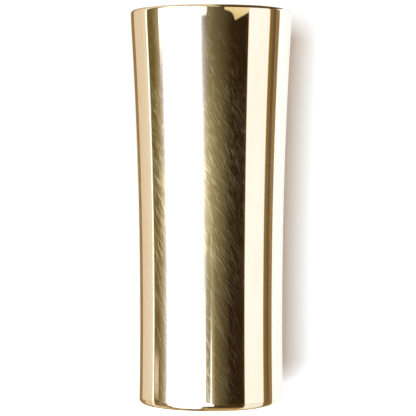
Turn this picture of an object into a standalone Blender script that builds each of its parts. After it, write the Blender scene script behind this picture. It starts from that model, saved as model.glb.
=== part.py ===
"""A brass guitar slide: one heavy tube, turned from bar, with a waisted outer wall and a plain bore.

Run it with: blender --background --python part.py
Lengths are in metres. The slide stands on its narrow end, its axis is +Z, the flared end is at the
top, and the origin is the centre of the bottom face.
"""

import math

import bpy

# Driving dimensions
LENGTH = 0.0690
WAIST_RADIUS = 0.0126
WAIST_HEIGHT = 0.0153
FLARED_RADIUS = 0.0143
BORE_RADIUS = 0.0100

# Rounding of the four rims: outside and inside, at the flared end and at the narrow end
FLARED_OUTER_ROUND = 0.0006
FLARED_INNER_ROUND = 0.0012
NARROW_OUTER_ROUND = 0.0009
NARROW_INNER_ROUND = 0.0008

# Fineness of the turned mesh
TURN_STEPS = 96
WALL_STEPS = 12
ROUND_STEPS = 6

# The wall is one long arc, tangent to the waist and passing through the flared end
RISE = FLARED_RADIUS - WAIST_RADIUS
RUN = LENGTH - WAIST_HEIGHT
WALL_ARC_RADIUS = (RUN**2 + RISE**2) / (2 * RISE)

BRASS_COLOUR = (0.78, 0.56, 0.25, 1.0)
BRASS_ROUGHNESS = 0.12
BRASS_METALLIC = 1.0


def clear_scene():
    for obj in list(bpy.data.objects):
        bpy.data.objects.remove(obj, do_unlink=True)


def wall_radius(height):
    """Outer radius at a height above the narrow end."""
    offset = height - WAIST_HEIGHT
    return WAIST_RADIUS + WALL_ARC_RADIUS - math.sqrt(WALL_ARC_RADIUS**2 - offset**2)


def wall_lean(height):
    """Angle by which the outer wall leans outward at a height, positive where it widens upward."""
    return math.asin((height - WAIST_HEIGHT) / WALL_ARC_RADIUS)


def arc(centre, radius, start, end):
    """Points on an arc in the profile plane, from one angle to another, both ends included."""
    points = []
    for step in range(ROUND_STEPS + 1):
        angle = start + (end - start) * step / ROUND_STEPS
        points.append((centre[0] + radius * math.cos(angle), centre[1] + radius * math.sin(angle)))
    return points


def flared_outer_rim():
    """From the top face over the outer edge to the wall."""
    radius = FLARED_OUTER_ROUND
    height = LENGTH - radius
    lean = wall_lean(height)
    centre = (wall_radius(height) - radius / math.cos(lean), height)
    return arc(centre, radius, math.radians(90), -lean)


def narrow_outer_rim():
    """From the wall round the outer edge to the bottom face."""
    radius = NARROW_OUTER_ROUND
    lean = wall_lean(radius)
    centre = (wall_radius(radius) - radius / math.cos(lean), radius)
    return arc(centre, radius, -lean, math.radians(-90))


def narrow_inner_rim():
    """From the bottom face round the inner edge into the bore."""
    radius = NARROW_INNER_ROUND
    centre = (BORE_RADIUS + radius, radius)
    return arc(centre, radius, math.radians(270), math.radians(180))


def flared_inner_rim():
    """From the bore round the inner edge to the top face."""
    radius = FLARED_INNER_ROUND
    centre = (BORE_RADIUS + radius, LENGTH - radius)
    return arc(centre, radius, math.radians(180), math.radians(90))


def wall_between(top, bottom):
    """Wall points strictly between two heights, going down."""
    points = []
    for step in range(1, WALL_STEPS):
        height = top + (bottom - top) * step / WALL_STEPS
        points.append((wall_radius(height), height))
    return points


def tube_outline():
    """The tube's closed section: down the outer wall, in along the bottom, up the bore, out at the top."""
    top_rim = flared_outer_rim()
    bottom_rim = narrow_outer_rim()
    wall = wall_between(top_rim[-1][1], bottom_rim[0][1])
    return top_rim + wall + bottom_rim + narrow_inner_rim() + flared_inner_rim()


def outline_mesh(name, outline):
    """A closed loop of edges in the XZ plane."""
    vertices = [(radius, 0.0, height) for radius, height in outline]
    edges = [(index, (index + 1) % len(vertices)) for index in range(len(vertices))]
    mesh = bpy.data.meshes.new(name)
    mesh.from_pydata(vertices, edges, [])
    return mesh


def turn(obj):
    """Turn the outline once round the object's own Z axis."""
    screw = obj.modifiers.new("turn", "SCREW")
    screw.axis = "Z"
    screw.angle = math.radians(360)
    screw.steps = TURN_STEPS
    screw.render_steps = TURN_STEPS
    screw.use_merge_vertices = True
    screw.merge_threshold = 0.00001
    screw.use_smooth_shade = True


def brass():
    material = bpy.data.materials.new("polished_brass")
    material.use_nodes = True
    shader = material.node_tree.nodes["Principled BSDF"]
    shader.inputs["Base Color"].default_value = BRASS_COLOUR
    shader.inputs["Roughness"].default_value = BRASS_ROUGHNESS
    shader.inputs["Metallic"].default_value = BRASS_METALLIC
    return material


def slide_tube(collection):
    mesh = outline_mesh("slide_tube", tube_outline())
    mesh.materials.append(brass())
    tube = bpy.data.objects.new("slide_tube", mesh)
    collection.objects.link(tube)
    turn(tube)
    return tube


def main():
    clear_scene()
    collection = bpy.data.collections.new("guitar_slide")
    bpy.context.scene.collection.children.link(collection)
    slide_tube(collection)


main()
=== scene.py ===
"""Looks of a polished brass guitar slide, standing on its narrow end in a small white studio.

Lengths are in metres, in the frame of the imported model: +Z is up along the slide's axis.
Compass angles are in degrees as seen from the slide: 0 is toward the camera (-Y) and positive is to
the camera's right (+X).
"""

import math
from collections import namedtuple

import bmesh
import bpy
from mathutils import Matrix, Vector


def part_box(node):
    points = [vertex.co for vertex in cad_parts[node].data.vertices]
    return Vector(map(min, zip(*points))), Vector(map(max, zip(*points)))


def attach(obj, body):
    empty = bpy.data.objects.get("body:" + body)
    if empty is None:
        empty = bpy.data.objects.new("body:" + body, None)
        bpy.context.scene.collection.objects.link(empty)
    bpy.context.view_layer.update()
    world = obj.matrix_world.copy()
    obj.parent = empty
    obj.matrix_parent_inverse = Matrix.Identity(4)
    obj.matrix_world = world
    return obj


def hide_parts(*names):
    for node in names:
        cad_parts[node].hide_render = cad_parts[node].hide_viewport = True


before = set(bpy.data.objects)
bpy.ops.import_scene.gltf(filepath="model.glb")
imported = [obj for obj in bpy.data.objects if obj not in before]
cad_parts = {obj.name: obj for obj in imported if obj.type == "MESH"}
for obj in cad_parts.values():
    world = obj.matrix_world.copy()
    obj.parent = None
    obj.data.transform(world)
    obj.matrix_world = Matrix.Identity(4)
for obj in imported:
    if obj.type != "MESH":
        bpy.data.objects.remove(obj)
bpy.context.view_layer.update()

# The tube. The box gives its length, and the rest repeats the sizes it was turned to.
TUBE_FOOT, TUBE_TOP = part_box("slide_tube")
LENGTH = TUBE_TOP.z - TUBE_FOOT.z
WAIST_RADIUS = 0.0126
WAIST_HEIGHT = 0.0153
FLARED_RADIUS = 0.0143
BORE_RADIUS = 0.0100
FLARED_OUTER_ROUND = 0.0006
FLARED_INNER_ROUND = 0.0012
NARROW_OUTER_ROUND = 0.00065
NARROW_INNER_ROUND = 0.0008

# Buffing rolls the wall over a little where it nears each rim
FLARED_ROLL = 0.0026
FLARED_ROLL_DROP = 0.00005
NARROW_ROLL = 0.0006
NARROW_ROLL_DROP = 0.00003

# How finely the meshes are drawn: steps once round, along the wall, over an edge and along the bore
TUBE_TURN_STEPS = 256
STAGE_TURN_STEPS = 96
WALL_STEPS = 90
ROUND_STEPS = 14
BORE_STEPS = 12

# Points of a turned mesh that lie closer than this are one point
MERGE_DISTANCE = 0.00001

# A face is on the bore when its centre lies within this radius, and on an end when it is this level
BORE_REACH = BORE_RADIUS * 1.001
LEVEL = 0.9999
OUTSIDE, IN_BORE, ON_END = range(3)

# The wall is one long arc, tangent to the waist and passing through the flared end
RISE = FLARED_RADIUS - WAIST_RADIUS
RUN = LENGTH - WAIST_HEIGHT
WALL_ARC_RADIUS = (RUN**2 + RISE**2) / (2 * RISE)

# The camera
FOCAL_LENGTH_MM = 150
SENSOR_MM = 36
CAMERA_DISTANCE = 0.306
CAMERA_RISE = math.radians(1.7)
CAMERA_NEAREST = 0.01
AIM = Vector((-0.0005, 0.0, 0.0343))

# The stage: a small round plinth in the middle of a wide round bowl, both of white paper
PLINTH_RADIUS = 0.030
PLINTH_ROUND = 0.004
BOWL_RADIUS = 0.42
BOWL_COVE = 0.10
BOWL_FLOOR = -0.15
BOWL_TOP = 0.50

# Lamps that light the stage. The one beside the camera throws the slide's shadow on the wall behind it.
OVERHEAD = (-0.3, -0.1, 1.2)
OVERHEAD_SIZE = 1.2
OVERHEAD_POWER = 6
BESIDE_CAMERA = (-0.0081, -0.357, 0.0447)
BESIDE_CAMERA_SIZE = 0.010
BESIDE_CAMERA_POWER = 6.3
BESIDE_CAMERA_COLOUR = (0.76, 0.89, 1.0)

# Besides the lamps, the paper glows with painted light: white all round, and a dim, warm painted shade on
# the wall that takes the shadow, which starts between two distances behind the slide and between two
# heights. Below those heights the white glow paints out the shadow's foot.
PAPER = (0.70, 0.70, 0.70, 1.0)
PAPER_ROUGHNESS = 0.9
WHITE_GLOW = (0.80, 0.80, 0.80, 1.0)
# Painted shade: the dim warm glow that gives the slide's shadow on the far wall its colour
PAINTED_SHADE_GLOW = (0.43, 0.34, 0.25, 1.0)
SHADOW_WALL = (0.25, 0.37)
SHADOW_FOOT = (-0.056, -0.040)

# How brass mirrors light, red, green and blue: the wall's polish, its duller patches and its scratches,
# then the bore and its stains, then the end faces and their wear
POLISHED_BRASS = (0.87, 0.685, 0.36, 1.0)
DULLER_BRASS = (0.845, 0.65, 0.325, 1.0)
SATIN_BRASS = (0.87, 0.69, 0.33, 1.0)
BORE_BRASS = (0.78, 0.57, 0.27, 1.0)
STAINED_BRASS = (0.56, 0.37, 0.16, 1.0)
FACED_BRASS = (0.94, 0.74, 0.39, 1.0)
HANDLED_BRASS = (0.84, 0.63, 0.30, 1.0)

# What noise draws on the brass. Each streak has its slant from the tube's axis in degrees, and its width
# and length in metres; its levels are where the noise starts to show it and where it is at its full.
# Its detail is how much finer noise lies on it.
SOFT_DETAIL = 3.0
FINE_DETAIL = 4.0

# Hairlines from buffing, and the fewer, longer scratches over them
GRAIN = [(-3, 0.00008, 0.0009), (9, 0.00009, 0.0015), (25, 0.00009, 0.0022)]
SCRATCHES = [(18, 0.00008, 0.0100), (30, 0.00008, 0.0080), (42, 0.00008, 0.0060)]
GRAIN_LEVELS = (0.48, 0.70)
SCRATCH_LEVELS = (0.68, 0.78)
GRAIN_DETAIL = 1.0
SCRATCH_DETAIL = 0.0
# How much of each is satin instead of mirror, and how rough the satin and the mirror are
GRAIN_SATIN = 0.05
SCRATCH_SATIN = 0.15
SATIN_ROUGHNESS = 0.32
MIRROR_ROUGHNESS = 0.028
GRAIN_ROUGHNESS = 0.012
# Patches in which the polish is duller
TONE_PATCH = (0, 0.004, 0.02)
TONE_LEVELS = (0.35, 0.7)

# The wear gathers in soft patches and is lightest near the top. It changes from the foot's to the
# middle's, and from the middle's to the top's, between two heights.
WEAR_PATCH = (15, 0.0025, 0.010)
WEAR_LEVELS = (0.3, 0.7)
WEAR_RANGE = (0.75, 1.2)
FOOT_WEAR = 0.7
MIDDLE_WEAR = 1.1
TOP_WEAR = 0.36
FOOT_TO_MIDDLE = (LENGTH * 0.15, LENGTH * 0.45)
MIDDLE_TO_TOP = (LENGTH * 0.60, LENGTH * 0.90)
# One side of the tube has been handled less: its compass angle, the reach of its smoothness in degrees
# and the wear there and on the rest of the tube
SMOOTH_SIDE = 37
SMOOTH_SIDE_REACH = (6, 34)
SIDE_WEAR = (0.6, 2.6)

# The bore keeps the rings that the tool left, and it is stained. Bumps have a strength and a depth.
TOOL_RINGS = (0, 0.02, 0.0002)
RING_LEVELS = (0.3, 0.7)
BORE_ROUGHNESS = (0.24, 0.40)
BORE_BUMP = (0.3, 0.00002)
STAIN_PATCH = (0, 0.003, 0.006)
STAIN_LEVELS = (0.35, 0.7)

# The end faces have fine turning rings, so many to the metre, and wear in small patches
FACE_RINGS = 12000.0
FACE_ROUGHNESS = (0.14, 0.26)
FACE_BUMP = (0.25, 0.00001)
FACE_PATCH = (0, 0.002, 0.002)
FACE_PATCH_LEVELS = (0.4, 0.7)


# ---------------------------------------------------------------- the tube


def wall_radius(height):
    """Outer radius at a height above the narrow end."""
    offset = height - WAIST_HEIGHT
    radius = WAIST_RADIUS + WALL_ARC_RADIUS - math.sqrt(WALL_ARC_RADIUS**2 - offset**2)
    near_top = max(0.0, height - (LENGTH - FLARED_OUTER_ROUND - FLARED_ROLL)) / FLARED_ROLL
    near_bottom = max(0.0, NARROW_OUTER_ROUND + NARROW_ROLL - height) / NARROW_ROLL
    return radius - FLARED_ROLL_DROP * near_top**2 - NARROW_ROLL_DROP * near_bottom**2


def wall_lean(height):
    """Angle by which the outer wall leans outward at a height, positive where it widens upward."""
    step = 0.00002
    return math.atan((wall_radius(height + step) - wall_radius(height - step)) / (2 * step))


def arc(centre, radius, start, end):
    """Points on an arc in the profile plane, from one angle to another, both ends included."""
    points = []
    for step in range(ROUND_STEPS + 1):
        angle = start + (end - start) * step / ROUND_STEPS
        points.append((centre[0] + radius * math.cos(angle), centre[1] + radius * math.sin(angle)))
    return points


def outer_rim(radius, height, start, end):
    """An outer edge's rounding at a height, between two angles that depend on the wall's lean there."""
    lean = wall_lean(height)
    centre = (wall_radius(height) - radius / math.cos(lean), height)
    return arc(centre, radius, start(lean), end(lean))


def tube_outline():
    """The tube's closed section: down the outer wall, in at the bottom, up the bore, out at the top."""
    quarter = math.pi / 2
    top_rim = outer_rim(
        FLARED_OUTER_ROUND, LENGTH - FLARED_OUTER_ROUND, lambda lean: quarter, lambda lean: -lean
    )
    bottom_rim = outer_rim(
        NARROW_OUTER_ROUND, NARROW_OUTER_ROUND, lambda lean: -lean, lambda lean: -quarter
    )
    top, bottom = top_rim[-1][1], bottom_rim[0][1]
    wall = []
    for step in range(1, WALL_STEPS):
        # Cosine spacing crowds the points toward both ends, where the wall rolls over
        height = (top + bottom) / 2 + (top - bottom) / 2 * math.cos(math.pi * step / WALL_STEPS)
        wall.append((wall_radius(height), height))
    bore_top, bore_bottom = LENGTH - FLARED_INNER_ROUND, NARROW_INNER_ROUND
    bottom_inner = arc(
        (BORE_RADIUS + NARROW_INNER_ROUND, bore_bottom), NARROW_INNER_ROUND, 3 * quarter, math.pi
    )
    bore = []
    for step in range(1, BORE_STEPS):
        bore.append((BORE_RADIUS, bore_bottom + (bore_top - bore_bottom) * step / BORE_STEPS))
    top_inner = arc(
        (BORE_RADIUS + FLARED_INNER_ROUND, bore_top), FLARED_INNER_ROUND, math.pi, quarter
    )
    return top_rim + wall + bottom_rim + bottom_inner + bore + top_inner


def turned_mesh(name, outline, steps, closed):
    """The outline turned once round the Z axis into a smooth mesh. A closed outline makes a closed mesh."""
    mesh = bpy.data.meshes.new(name)
    shape = bmesh.new()
    points = [shape.verts.new((radius, 0.0, height)) for radius, height in outline]
    first = 0 if closed else 1
    edges = [shape.edges.new((points[index - 1], points[index])) for index in range(first, len(points))]
    bmesh.ops.spin(
        shape, geom=points + edges, axis=(0, 0, 1), cent=(0, 0, 0),
        angle=2 * math.pi, steps=steps, use_merge=True,
    )
    if closed:
        bmesh.ops.recalc_face_normals(shape, faces=shape.faces)
    else:
        # A point on the axis turns into many in the same place
        bmesh.ops.remove_doubles(shape, verts=shape.verts, dist=MERGE_DISTANCE)
    for face in shape.faces:
        face.smooth = True
    shape.to_mesh(mesh)
    shape.free()
    return mesh


def zone(face):
    """Which of the tube's three surfaces a face is on."""
    centre = face.center
    if math.hypot(centre.x, centre.y) < BORE_REACH:
        return IN_BORE
    if abs(face.normal.z) > LEVEL:
        return ON_END
    return OUTSIDE


def slide_tube():
    """The tube's fine surface, with a material for each of its three surfaces."""
    mesh = turned_mesh("slide_tube_looks", tube_outline(), TUBE_TURN_STEPS, closed=True)
    for material in (polished_brass(), bore_brass(), end_face_brass()):
        mesh.materials.append(material)
    for face in mesh.polygons:
        face.material_index = zone(face)
    tube = bpy.data.objects.new("slide_tube_looks", mesh)
    bpy.context.scene.collection.objects.link(tube)
    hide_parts("slide_tube")
    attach(tube, "root")


# ---------------------------------------------------------------- node helpers


class Graph:
    """A short way to add and join shader nodes in one tree."""

    def __init__(self, tree):
        self.tree = tree

    def add(self, kind, inputs=None, **settings):
        """A new node, with values or links for its inputs and its settings by name."""
        node = self.tree.nodes.new(kind)
        for key, value in settings.items():
            setattr(node, key, value)
        for key, value in (inputs or {}).items():
            self.put(node.inputs[key], value)
        return node

    def put(self, socket, value):
        """Give an input a value, or link it to another node's output."""
        if isinstance(value, bpy.types.NodeSocket):
            self.tree.links.new(value, socket)
        else:
            socket.default_value = value

    def math(self, operation, *values):
        node = self.add("ShaderNodeMath", operation=operation)
        for socket, value in zip(node.inputs, values):
            self.put(socket, value)
        return node.outputs[0]

    def ramp(self, value, low, high, to_low=0.0, to_high=1.0):
        """A smooth step of value from low to high, given out between to_low and to_high."""
        node = self.add("ShaderNodeMapRange", interpolation_type="SMOOTHSTEP")
        for socket, number in zip(node.inputs, (value, low, high, to_low, to_high)):
            self.put(socket, number)
        return node.outputs[0]

    def scale(self, colour, value):
        node = self.add("ShaderNodeVectorMath", {0: colour, 3: value}, operation="SCALE")
        return node.outputs[0]

    def add_colour(self, first, second):
        node = self.add("ShaderNodeVectorMath", {0: first, 1: second}, operation="ADD")
        return node.outputs[0]

    def mix(self, factor, first, second):
        node = self.add("ShaderNodeMix", data_type="RGBA")
        self.put(node.inputs[0], factor)
        self.put(node.inputs[6], first)
        self.put(node.inputs[7], second)
        return node.outputs[2]

    def bump(self, shader, relief, strength, depth):
        """Give a shader a bump that follows relief."""
        node = self.add("ShaderNodeBump", {"Strength": strength, "Distance": depth, "Height": relief})
        self.put(shader.inputs["Normal"], node.outputs[0])


def split_place(graph, kind="Object"):
    """The X, Y and Z outputs of a point on an object. In a world, Generated gives a direction's."""
    place = graph.add("ShaderNodeTexCoord").outputs[kind]
    return graph.add("ShaderNodeSeparateXYZ", {"Vector": place}).outputs


def compass_of(graph, place):
    """The compass angle of a split place, in degrees."""
    forward = graph.math("MULTIPLY", place["Y"], -1.0)
    return graph.math("DEGREES", graph.math("ARCTAN2", place["X"], forward))


# ---------------------------------------------------------------- brass


def streaks(graph, streak, detail):
    """Noise that draws streaks of one slant, width and length on the tube.

    A positive slant runs down to the right.
    """
    slant, across, along = streak
    place = graph.add("ShaderNodeTexCoord").outputs["Object"]
    height = split_place(graph)["Z"]
    twist = math.tan(math.radians(slant)) / WAIST_RADIUS
    turned = graph.add(
        "ShaderNodeVectorRotate",
        {"Vector": place, "Angle": graph.math("MULTIPLY", height, twist)},
        rotation_type="Z_AXIS",
    )
    scaled = graph.add(
        "ShaderNodeVectorMath",
        {0: turned.outputs[0], 1: (1 / across, 1 / across, 1 / along)},
        operation="MULTIPLY",
    )
    field = graph.add("ShaderNodeTexNoise", {"Vector": scaled.outputs[0], "Scale": 1.0, "Detail": detail})
    return field.outputs["Fac"]


def lines(graph, sets, detail, levels):
    """The sum of several sets of streaks, each rising from 0 to 1 between two levels of its noise."""
    total = 0.0
    for streak in sets:
        total = graph.math("ADD", graph.ramp(streaks(graph, streak, detail), *levels), total)
    return total


def brass_material(name):
    """A new metal material, its graph and its shader."""
    material = bpy.data.materials.new(name)
    material.use_nodes = True
    shader = material.node_tree.nodes["Principled BSDF"]
    shader.inputs["Metallic"].default_value = 1.0
    return material, Graph(material.node_tree), shader


def side_wear(graph):
    """How worn the tube is by the side that a point is on: least on the side at SMOOTH_SIDE."""
    compass = compass_of(graph, split_place(graph))
    away = graph.math("ABSOLUTE", graph.math("SUBTRACT", compass, SMOOTH_SIDE))
    return graph.ramp(away, *SMOOTH_SIDE_REACH, *SIDE_WEAR)


def wall_wear(graph):
    """How worn the wall is, by patches, by height and by side."""
    height = split_place(graph)["Z"]
    patches = graph.ramp(streaks(graph, WEAR_PATCH, SOFT_DETAIL), *WEAR_LEVELS, *WEAR_RANGE)
    by_height = graph.math(
        "MULTIPLY",
        graph.ramp(height, *FOOT_TO_MIDDLE, FOOT_WEAR, MIDDLE_WEAR),
        graph.ramp(height, *MIDDLE_TO_TOP, 1.0, TOP_WEAR),
    )
    return graph.math("MULTIPLY", graph.math("MULTIPLY", patches, by_height), side_wear(graph))


def polished_brass():
    """Mirror polish under fine hairlines, which lie steeply across the tube and are faintest at its top.

    A hairline mirrors less and scatters more, so part of each one is a second, satin shader.
    """
    material, graph, mirror = brass_material("polished_brass")
    wear = wall_wear(graph)
    grain = lines(graph, GRAIN, GRAIN_DETAIL, GRAIN_LEVELS)
    scratches = lines(graph, SCRATCHES, SCRATCH_DETAIL, SCRATCH_LEVELS)
    rubbed = graph.math("MULTIPLY", grain, wear)
    roughness = graph.math("MULTIPLY_ADD", rubbed, GRAIN_ROUGHNESS, MIRROR_ROUGHNESS)
    graph.put(mirror.inputs["Roughness"], roughness)
    tone = graph.ramp(streaks(graph, TONE_PATCH, SOFT_DETAIL), *TONE_LEVELS)
    graph.put(mirror.inputs["Base Color"], graph.mix(tone, POLISHED_BRASS, DULLER_BRASS))
    satin = graph.add("ShaderNodeBsdfPrincipled", {
        "Base Color": SATIN_BRASS,
        "Metallic": 1.0,
        "Roughness": SATIN_ROUGHNESS,
    })
    hairlines = graph.math("MULTIPLY", grain, GRAIN_SATIN)
    share = graph.math("MULTIPLY", graph.math("MULTIPLY_ADD", scratches, SCRATCH_SATIN, hairlines), wear)
    blend = graph.add("ShaderNodeMixShader", {0: share, 1: mirror.outputs[0], 2: satin.outputs[0]})
    graph.put(material.node_tree.nodes["Material Output"].inputs["Surface"], blend.outputs[0])
    return material


def bore_brass():
    """A reamed bore: satin, with rings left by the tool and a browner tone."""
    material, graph, shader = brass_material("bore_brass")
    rings = streaks(graph, TOOL_RINGS, SOFT_DETAIL)
    graph.put(shader.inputs["Roughness"], graph.ramp(rings, *RING_LEVELS, *BORE_ROUGHNESS))
    stain = graph.ramp(streaks(graph, STAIN_PATCH, FINE_DETAIL), *STAIN_LEVELS)
    graph.put(shader.inputs["Base Color"], graph.mix(stain, BORE_BRASS, STAINED_BRASS))
    graph.bump(shader, rings, *BORE_BUMP)
    return material


def end_face_brass():
    """A faced end: fine turning rings under a light polish."""
    material, graph, shader = brass_material("end_face_brass")
    place = split_place(graph)
    squares = [graph.math("POWER", place[axis], 2.0) for axis in "XY"]
    from_axis = graph.math("SQRT", graph.math("ADD", *squares))
    field = graph.add("ShaderNodeTexNoise", {"W": from_axis, "Scale": FACE_RINGS}, noise_dimensions="1D")
    rings = field.outputs["Fac"]
    graph.put(shader.inputs["Roughness"], graph.ramp(rings, *RING_LEVELS, *FACE_ROUGHNESS))
    wear = graph.ramp(streaks(graph, FACE_PATCH, FINE_DETAIL), *FACE_PATCH_LEVELS)
    graph.put(shader.inputs["Base Color"], graph.mix(wear, FACED_BRASS, HANDLED_BRASS))
    graph.bump(shader, rings, *FACE_BUMP)
    return material


# ---------------------------------------------------------------- what the brass mirrors

# A panel of light, as compass angle and height angle ranges in degrees, how soft its edges are, and
# how bright it is. Later panels lie over earlier ones.
Panel = namedtuple("Panel", "compass height edge light")

# Ranges of angles that panels share
ALL_ROUND = (-190, 190)
ALL_HEIGHTS = (-100, 100)
FLOOR = (-100, -15.5)
FRONT_FLOOR = (-50, -15.5)
UNDER_RIM = (-15.5, -8.6)
BELOW = (-50, -8.6)
UNDERFOOT = (-90, -52)
CEILING = (36, 100)
BROWN_CEILING = (26, 100)
DARK_CEILING = (22, 100)

# Light that panels share, and the light of the room that shows between them
ROOM = (0.018, 0.007, 0.0)
CLOTH_WHITE = (3.0, 3.6, 5.0)
KEY_IMAGE = (1.4, 1.7, 3.0)
LEDGE_WHITE = (2.4, 3.0, 5.0)
SCREEN_EDGE = (0.75, 0.64, 0.45)
BROWN_GAP = (0.26, 0.18, 0.09)

# Screens and walls that stand all round the slide
WALLS = [
    # Behind it on the left: a pale wall and a brown strip
    Panel((-180, -160), ALL_HEIGHTS, 3.0, (1.00, 1.06, 1.06)),
    Panel((-159, -142), ALL_HEIGHTS, 3.0, (0.347, 0.235, 0.115)),
    # Left: a tan screen that brightens toward the front and ends in a white slit
    Panel((-142, -102), ALL_HEIGHTS, 3.0, (0.84, 0.79, 0.85)),
    Panel((-128, -102), ALL_HEIGHTS, 14.0, (0.885, 0.855, 1.01)),
    Panel((-115, -102), ALL_HEIGHTS, 3.0, (0.94, 0.94, 1.16)),
    Panel((-106.7, -102.7), ALL_HEIGHTS, 0.8, (1.35, 1.8, 2.8)),
    # The dim room between that screen and the key
    Panel((-102.8, -70), ALL_HEIGHTS, 0.8, (0.145, 0.105, 0.025)),
    # Right: the dark frame of a white screen, and the screen with its yellower edge
    Panel((51, 55.5), ALL_HEIGHTS, 1.5, (0.045, 0.022, 0.002)),
    Panel((54.9, 94.2), ALL_HEIGHTS, 0.7, SCREEN_EDGE),
    Panel((55.6, 92.2), ALL_HEIGHTS, 0.7, (1.20, 1.42, 2.30)),
    # A brown gap with a darker and a lighter post in it
    Panel((93.3, 116.0), ALL_HEIGHTS, 1.2, BROWN_GAP),
    Panel((100, 106.5), ALL_HEIGHTS, 2.5, (0.155, 0.11, 0.08)),
    Panel((106.2, 113.0), ALL_HEIGHTS, 1.6, (0.315, 0.24, 0.165)),
    # Behind it on the right: a second white screen, dimmer toward the back
    Panel((114.2, 181), ALL_HEIGHTS, 0.6, SCREEN_EDGE),
    Panel((115.2, 181), ALL_HEIGHTS, 0.6, (1.19, 1.53, 2.55)),
    Panel((133, 190), ALL_HEIGHTS, 6.0, (1.14, 1.40, 2.05)),
    Panel((152, 190), ALL_HEIGHTS, 16.0, (1.07, 1.14, 1.35)),
]
# What shows over the screens and under them
DETAILS = [
    # The key is a little wider above eye height, on both sides
    Panel((-16, -6.5), (0.3, 22), 1.5, CLOTH_WHITE),
    Panel((-79.5, -74), (-1.0, 22), 1.5, CLOTH_WHITE),
    # A pale bar left of the key
    Panel((-101.5, -92), (-6.72, -6.05), 0.3, (0.84, 0.75, 0.84)),
    # Low down, the key's right side is wider too, and beside it are a white post's glow, the post
    # and a gleam over it
    Panel((-14.5, -7.9), (-8.6, -5.2), 1.6, (1.3, 1.6, 3.0)),
    Panel((-0.5, 5.5), (-9.0, -5.4), 3.0, (0.50, 0.44, 0.33)),
    Panel((-0.5, 1.8), (-8, -5.6), 0.3, (1.5, 1.8, 3.0)),
    Panel((-0.4, 1.2), (-4.8, -4.62), 0.12, (0.8, 0.9, 1.2)),
    # The floor, darker in front, and the shadow that everything has at its foot
    Panel(ALL_ROUND, FLOOR, 1.0, (0.66, 0.55, 0.40)),
    Panel((-14, 54), FRONT_FLOOR, 6.0, (0.40, 0.31, 0.19)),
    Panel(ALL_ROUND, UNDER_RIM, 0.8, (0.22, 0.16, 0.10)),
    # The feet of the tan screen and of its white slit, and the brown floor behind on the left
    Panel((-142, -102.7), BELOW, 2.0, (0.84, 0.77, 0.78)),
    Panel((-106.7, -102.7), BELOW, 1.0, (1.35, 1.80, 2.80)),
    Panel((-172, -130), (-86, -9), 2.0, (0.40, 0.27, 0.15)),
    # The key's mirror image in the floor, which tapers downward out of a dark surround
    Panel((-76, -13), (-50, -8.6), 2.0, (0.13, 0.10, 0.05)),
    Panel((-73, -13), (-14, -8.0), 2.0, KEY_IMAGE),
    Panel((-66, -15), (-24, -8.0), 4.0, KEY_IMAGE),
    Panel((-58, -20), (-40, -8.0), 7.0, KEY_IMAGE),
    Panel((-75, -20), UNDERFOOT, 2.0, (0.16, 0.09, 0.04)),
    # Right of the key, the dark foot of the room and a white ledge over it
    Panel((-12, 53), (-17, -8.6), 0.8, (0.05, 0.035, 0.015)),
    Panel((-14.5, 2), (-11, -6.38), 0.1, LEDGE_WHITE),
    Panel((-14.5, 5), (-11, -7.6), 1.0, LEDGE_WHITE),
    # The feet of the white screens and of the gap between them
    Panel((55.6, 92), BELOW, 0.8, (1.10, 1.25, 1.90)),
    Panel((93.5, 114), BELOW, 1.5, BROWN_GAP),
    Panel((115, 190), BELOW, 1.0, (1.15, 1.45, 2.20)),
    # The ceiling, which is pale on the left, dark on the right and brown behind on the right
    Panel((-190, 17), CEILING, 8.0, (0.81, 0.81, 0.95)),
    Panel((17, 114), DARK_CEILING, 8.0, (0.08, 0.05, 0.02)),
    Panel((100, 174), BROWN_CEILING, 4.0, (0.16, 0.10, 0.05)),
]

# The key is one large softbox to the camera's left. Its cloth is white at the rim, and its core is far
# brighter. Past each side its light fades over the room: how bright that spill starts, how many degrees
# it reaches, the power by which it falls off, its colour, and the colour of the narrow glow close
# beside the softbox.
KEY = (-75.4, -12.6)
KEY_RIM = 1.6
KEY_CORE = 5.0
KEY_CLOTH = (0.50, 0.58, 1.40)
KEY_LIGHT = (12.0, 12.6, 12.0)
Side = namedtuple("Side", "brightness reach power colour glow")
KEY_LEFT = Side(0.34, 20, 1.8, (1.0, 1.0, 0.90), (0.12, 0.28, 1.30))
KEY_RIGHT = Side(0.42, 43, 1.0, (1.0, 0.98, 0.70), (0.70, 1.00, 2.6))
GLOW_REACH = 3.0
# The right spill changes with height: two heights, and its strength below the first and above the second
RIGHT_SPILL_FOOT = (-5.1, -4.4, 0.68, 1.12)
RIGHT_SPILL_TOP = (-3.9, -2.5, 1.0, 0.42)

# A pale corner of the ceiling comes down in front as a lopsided V. Its tip is at a compass and a height
# angle. Its left edge rises fast at first, by CORNER_CURVE degrees over about CORNER_CURVE_REACH, and
# then by a steady slope, and its right edge rises by a steady slope.
CORNER_COMPASS = 34.0
CORNER_HEIGHT = -1.25
CORNER_CURVE = 2.4
CORNER_CURVE_REACH = 3.0
CORNER_LEFT_SLOPE = 0.03
CORNER_RIGHT_SLOPE = 0.126
CORNER_SIDES = (19, 55.2)
CORNER_SIDE_EDGE = 1.0
CORNER_LOWER_EDGE = 0.2
# Its colour changes between two heights
CORNER_SHADE = (-1.0, 3.0)
CORNER_TIP_COLOUR = (0.86, 0.82, 0.64, 1.0)
CORNER_TOP_COLOUR = (1.05, 1.03, 1.05, 1.0)


def inside(graph, value, limits, edge):
    """1 where value is between limits, in degrees, fading to 0 across the edge."""
    middle = (limits[0] + limits[1]) / 2
    half = (limits[1] - limits[0]) / 2
    offset = graph.math("WRAP", graph.math("SUBTRACT", value, middle), 180.0, -180.0)
    return graph.ramp(graph.math("ABSOLUTE", offset), half - edge / 2, half + edge / 2, 1.0, 0.0)


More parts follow.
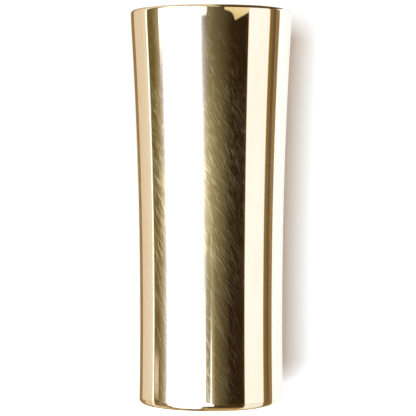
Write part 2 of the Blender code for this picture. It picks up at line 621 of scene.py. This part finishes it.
def side_light(graph, beyond, side):
    """What the key adds to the room at a number of degrees beyond one of its sides."""
    gone = graph.math("DIVIDE", beyond, side.reach)
    remaining = graph.math("MAXIMUM", graph.math("SUBTRACT", 1.0, gone), 0.0)
    spill = graph.math("MULTIPLY", graph.math("POWER", remaining, side.power), side.brightness)
    fade = graph.math("EXPONENT", graph.math("DIVIDE", beyond, -GLOW_REACH))
    return graph.add_colour(graph.scale(side.colour, spill), graph.scale(side.glow, fade))


def key_light(graph, compass, height):
    """The key softbox and the light that it spills on the room on both sides of it."""
    past_left = graph.math("SUBTRACT", KEY[0], compass)
    past_right = graph.math("SUBTRACT", compass, KEY[1])
    left = side_light(graph, graph.math("MAXIMUM", past_left, 0.0), KEY_LEFT)
    right = side_light(graph, graph.math("MAXIMUM", past_right, 0.0), KEY_RIGHT)
    by_height = graph.math(
        "MULTIPLY", graph.ramp(height, *RIGHT_SPILL_TOP), graph.ramp(height, *RIGHT_SPILL_FOOT)
    )
    right = graph.scale(right, by_height)
    light = graph.mix(graph.ramp(compass, KEY[0], KEY[1]), left, right)
    depth = graph.math("MULTIPLY", graph.math("MAXIMUM", past_left, past_right), -1.0)
    cloth = graph.scale(KEY_CLOTH, graph.ramp(depth, 0.0, KEY_RIM))
    core = graph.scale(KEY_LIGHT, graph.ramp(depth, KEY_RIM, KEY_CORE))
    return graph.add_colour(graph.add_colour(light, cloth), core)


def ceiling_corner(graph, compass, height):
    """1 inside the pale ceiling corner, 0 below its V-shaped lower edge."""
    leftward = graph.math("SUBTRACT", CORNER_COMPASS, compass)
    still_to_rise = graph.math("EXPONENT", graph.math("MULTIPLY", leftward, -1 / CORNER_CURVE_REACH))
    risen = graph.math("SUBTRACT", 1.0, still_to_rise)
    curve = graph.math("MULTIPLY_ADD", risen, CORNER_CURVE, CORNER_HEIGHT)
    left_edge = graph.math("MULTIPLY_ADD", leftward, CORNER_LEFT_SLOPE, curve)
    right_edge = graph.math("MULTIPLY_ADD", leftward, -CORNER_RIGHT_SLOPE, CORNER_HEIGHT)
    clearance = graph.math("SUBTRACT", height, graph.math("MAXIMUM", left_edge, right_edge))
    above = graph.ramp(clearance, -CORNER_LOWER_EDGE, CORNER_LOWER_EDGE)
    return graph.math("MULTIPLY", above, inside(graph, compass, CORNER_SIDES, CORNER_SIDE_EDGE))


def lay_panels(graph, compass, height, light, panels):
    """The light with panels laid over it, each over the ones before."""
    for panel in panels:
        mask = graph.math(
            "MULTIPLY",
            inside(graph, compass, panel.compass, panel.edge),
            inside(graph, height, panel.height, panel.edge),
        )
        light = graph.mix(mask, light, (*panel.light, 1.0))
    return light


def studio_world():
    """Panels of light all round the slide. Only mirror reflections see them."""
    world = bpy.data.worlds.new("studio_panels")
    world.use_nodes = True
    graph = Graph(world.node_tree)
    background = world.node_tree.nodes["Background"]
    direction = split_place(graph, "Generated")
    compass = compass_of(graph, direction)
    height = graph.math("DEGREES", graph.math("ARCSINE", direction["Z"]))
    light = lay_panels(graph, compass, height, (*ROOM, 1.0), WALLS)
    at_wall_height = inside(graph, height, (UNDER_RIM[1], CEILING[0]), 1.0)
    light = graph.add_colour(light, graph.scale(key_light(graph, compass, height), at_wall_height))
    corner = graph.mix(graph.ramp(height, *CORNER_SHADE), CORNER_TIP_COLOUR, CORNER_TOP_COLOUR)
    light = graph.mix(ceiling_corner(graph, compass, height), light, corner)
    light = lay_panels(graph, compass, height, light, DETAILS)
    graph.put(background.inputs["Color"], light)
    bpy.context.scene.world = world
    world.cycles_visibility.camera = False
    world.cycles_visibility.diffuse = False


# ---------------------------------------------------------------- the stage and its lamps


def plinth_outline():
    """The plinth's section, from the middle of its top out over the rounded edge and down."""
    side = arc((PLINTH_RADIUS - PLINTH_ROUND, -PLINTH_ROUND), PLINTH_ROUND, math.pi / 2, 0.0)
    return [(0.0, 0.0)] + side + [(PLINTH_RADIUS, BOWL_FLOOR)]


def bowl_outline():
    """The bowl's section, from the middle of its floor out to the cove and up the wall."""
    cove = arc((BOWL_RADIUS - BOWL_COVE, BOWL_FLOOR + BOWL_COVE), BOWL_COVE, -math.pi / 2, 0.0)
    return [(0.0, BOWL_FLOOR)] + cove + [(BOWL_RADIUS, BOWL_TOP)]


def stage_piece(name, outline, material):
    """A turned white surface that the slide stands on or in front of. The brass doesn't mirror it."""
    mesh = turned_mesh(name, outline, STAGE_TURN_STEPS, closed=False)
    mesh.materials.append(material)
    piece = bpy.data.objects.new(name, mesh)
    bpy.context.scene.collection.objects.link(piece)
    piece.visible_glossy = False
    piece.visible_diffuse = False
    piece.visible_shadow = False


def white_paper():
    """Matt white paper that glows with painted light: white all round, and a dim, warm painted shade on the
    wall that takes the slide's shadow.
    """
    material = bpy.data.materials.new("white_paper")
    material.use_nodes = True
    graph = Graph(material.node_tree)
    shader = material.node_tree.nodes["Principled BSDF"]
    shader.inputs["Base Color"].default_value = PAPER
    shader.inputs["Roughness"].default_value = PAPER_ROUGHNESS
    shader.inputs["Specular IOR Level"].default_value = 0.0
    shader.inputs["Emission Strength"].default_value = 1.0
    place = split_place(graph)
    # Painted shade: far enough behind the slide and above the shadow's foot, the paper glows dim and warm,
    # elsewhere white
    far_enough = graph.ramp(place["Y"], *SHADOW_WALL)
    on_painted_shade = graph.math("MULTIPLY", far_enough, graph.ramp(place["Z"], *SHADOW_FOOT))
    graph.put(shader.inputs["Emission Color"], graph.mix(on_painted_shade, WHITE_GLOW, PAINTED_SHADE_GLOW))
    return material


def stage():
    """The plinth under the slide and the bowl round it."""
    paper = white_paper()
    stage_piece("plinth", plinth_outline(), paper)
    stage_piece("bowl", bowl_outline(), paper)


def lamp(name, place, aim, size, power, colour=(1.0, 1.0, 1.0)):
    """A square soft lamp that lights the stage and isn't mirrored in the brass."""
    data = bpy.data.lights.new(name, "AREA")
    data.shape = "SQUARE"
    data.size = size
    data.energy = power
    data.color = colour
    light = bpy.data.objects.new(name, data)
    light.location = place
    light.rotation_euler = (Vector(aim) - Vector(place)).to_track_quat("-Z", "Y").to_euler()
    light.visible_glossy = False
    light.visible_camera = False
    bpy.context.scene.collection.objects.link(light)


def lamps():
    """The two lamps of the stage."""
    lamp("overhead", OVERHEAD, (0, 0, 0), OVERHEAD_SIZE, OVERHEAD_POWER)
    ahead = (BESIDE_CAMERA[0], 0, BESIDE_CAMERA[2])
    lamp(
        "beside_camera", BESIDE_CAMERA, ahead, BESIDE_CAMERA_SIZE, BESIDE_CAMERA_POWER, BESIDE_CAMERA_COLOUR
    )


# ---------------------------------------------------------------- camera


def camera():
    """The camera, a little above the slide's middle, with a long lens and looking slightly down."""
    data = bpy.data.cameras.new("camera")
    data.lens = FOCAL_LENGTH_MM
    data.sensor_width = SENSOR_MM
    data.clip_start = CAMERA_NEAREST
    view = bpy.data.objects.new("camera", data)
    back = Vector((0.0, -math.cos(CAMERA_RISE), math.sin(CAMERA_RISE)))
    view.location = AIM + back * CAMERA_DISTANCE
    view.rotation_euler = (-back).to_track_quat("-Z", "Y").to_euler()
    bpy.context.scene.collection.objects.link(view)
    bpy.context.scene.camera = view


bpy.context.scene.view_settings.view_transform = "Standard"
slide_tube()
stage()
studio_world()
lamps()
camera()
